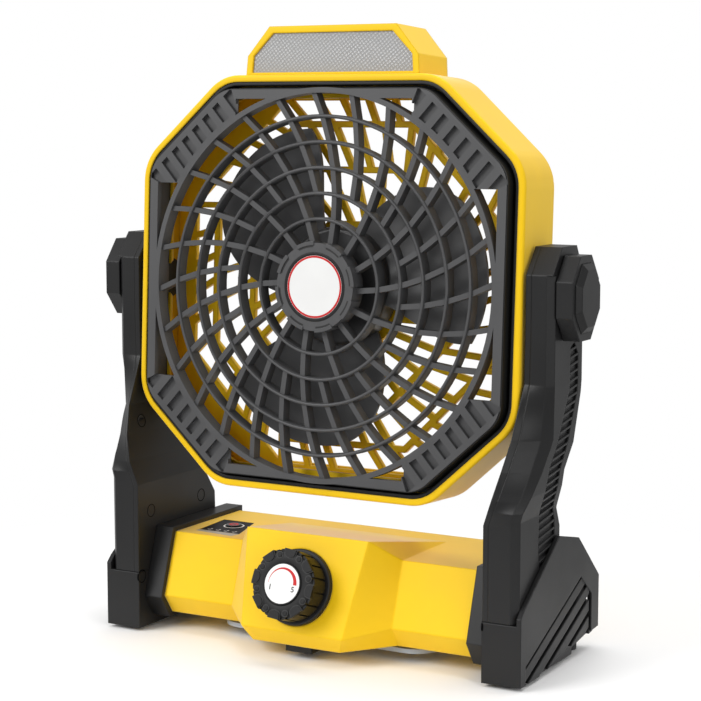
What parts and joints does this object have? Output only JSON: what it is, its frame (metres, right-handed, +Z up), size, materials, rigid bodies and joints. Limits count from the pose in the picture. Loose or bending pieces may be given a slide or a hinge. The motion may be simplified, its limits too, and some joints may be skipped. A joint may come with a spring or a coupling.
{
  "type": "portable camping fan",
  "caption": "Portable camping fan: an eight-sided tilting head with a lamp on top, on two arms and a wide base with a speed knob and a folding bail underneath.",
  "frame": {"origin": "on the ground under the middle of the fan", "axes": "+Z up, +Y to the back of the fan, +X to the right of a person facing it"},
  "size_m": [0.2382, 0.1022, 0.2722],
  "materials": {
    "head_shell": "fine satin",
    "rear_grille": "fine satin",
    "lamp_housing": "fine satin",
    "base_shell": "fine satin",
    "front_grille": "satin",
    "head_liner": "satin",
    "hub_badge": "gloss",
    "lamp_lens": "frosted",
    "lamp_board": "lacquered",
    "fan_motor": "brushed",
    "impeller": "satin",
    "motor_shaft": "brushed",
    "tilt_pins": "satin",
    "tilt_washers": "matt",
    "arm_shell_right": "satin",
    "arm_shell_left": "satin",
    "arm_cover_right": "satin",
    "arm_cover_left": "satin",
    "arm_ribs_right": "satin",
    "arm_ribs_left": "satin",
    "arm_screws": "brushed",
    "clamp_knob_right": "satin",
    "clamp_knob_left": "satin",
    "knob_cap_right": "satin",
    "knob_cap_left": "satin",
    "knob_stem_right": "satin",
    "knob_stem_left": "satin",
    "foot_right": "satin",
    "foot_left": "satin",
    "foot_pads": "matt",
    "base_rear_cover": "fine satin",
    "collar_right": "satin",
    "collar_left": "satin",
    "display_panel": "gloss",
    "lamp_button": "gloss",
    "knob_skirt": "satin",
    "speed_knob": "gloss",
    "knob_dial": "gloss",
    "knob_spindle": "brushed",
    "speed_switch": "satin",
    "battery_cells": "wrapped",
    "battery_tray": "satin",
    "main_board": "lacquered",
    "port_flap": "matt",
    "hanging_bail": "satin",
    "bail_ears": "satin"
  },
  "bodies": {
    "base": {"base_shell": "base_shell", "arm_shell_right": "arm_shell_right", "arm_shell_left": "arm_shell_left", "arm_cover_right": "arm_cover_right", "arm_cover_left": "arm_cover_left", "arm_ribs_right": "arm_ribs_right", "arm_ribs_left": "arm_ribs_left", "arm_screws": "arm_screws", "foot_right": "foot_right", "foot_left": "foot_left", "foot_pads": "foot_pads", "base_rear_cover": "base_rear_cover", "collar_right": "collar_right", "collar_left": "collar_left", "display_panel": "display_panel", "knob_skirt": "knob_skirt", "speed_switch": "speed_switch", "battery_cells": "battery_cells", "battery_tray": "battery_tray", "main_board": "main_board", "bail_ears": "bail_ears"},
    "head": {"head_shell": "head_shell", "head_liner": "head_liner", "front_grille": "front_grille", "hub_badge": "hub_badge", "rear_grille": "rear_grille", "lamp_housing": "lamp_housing", "lamp_lens": "lamp_lens", "lamp_board": "lamp_board", "fan_motor": "fan_motor", "tilt_pins": "tilt_pins", "tilt_washers": "tilt_washers"},
    "fan": {"impeller": "impeller", "motor_shaft": "motor_shaft"},
    "speed_control": {"speed_knob": "speed_knob", "knob_dial": "knob_dial", "knob_spindle": "knob_spindle"},
    "clamp_right": {"clamp_knob_right": "clamp_knob_right", "knob_cap_right": "knob_cap_right", "knob_stem_right": "knob_stem_right"},
    "clamp_left": {"clamp_knob_left": "clamp_knob_left", "knob_cap_left": "knob_cap_left", "knob_stem_left": "knob_stem_left"},
    "lamp_switch": {"lamp_button": "lamp_button"},
    "charging_flap": {"port_flap": "port_flap"},
    "bail": {"hanging_bail": "hanging_bail"}
  },
  "joints": [
    {"name": "head_tilt", "type": "hinge", "parent": "base", "child": "head", "pos_m": [0, 0.0019, 0.1593], "axis": [1, 0, 0], "range_deg": [-150, 90]},
    {"name": "fan_spin", "type": "hinge", "parent": "head", "child": "fan", "pos_m": [0, 0.0019, 0.1593], "axis": [0, -0.9986, 0.0523], "continuous": true},
    {"name": "speed_turn", "type": "hinge", "parent": "base", "child": "speed_control", "pos_m": [0, -0.03363, 0.03142], "axis": [0, -0.9478, 0.319], "range_deg": [-270, 0]},
    {"name": "clamp_turn_right", "type": "hinge", "parent": "base", "child": "clamp_right", "pos_m": [0.113, 0.0019, 0.1593], "axis": [1, 0, 0], "range_deg": [-180, 0]},
    {"name": "clamp_turn_left", "type": "hinge", "parent": "base", "child": "clamp_left", "pos_m": [-0.113, 0.0019, 0.1593], "axis": [-1, 0, 0], "range_deg": [-180, 0]},
    {"name": "lamp_press", "type": "slide", "parent": "base", "child": "lamp_switch", "axis": [0, 0, -1], "range_m": [0, 0.0006], "stiffness_N_per_m": 1500},
    {"name": "flap_open", "type": "hinge", "parent": "base", "child": "charging_flap", "pos_m": [0.049, 0.04045, 0.0326], "axis": [-1, 0, 0], "range_deg": [0, 110]},
    {"name": "bail_swing", "type": "hinge", "parent": "base", "child": "bail", "pos_m": [0, 0.023, 0.0049], "axis": [1, 0, 0], "range_deg": [0, 120]}
  ]
}
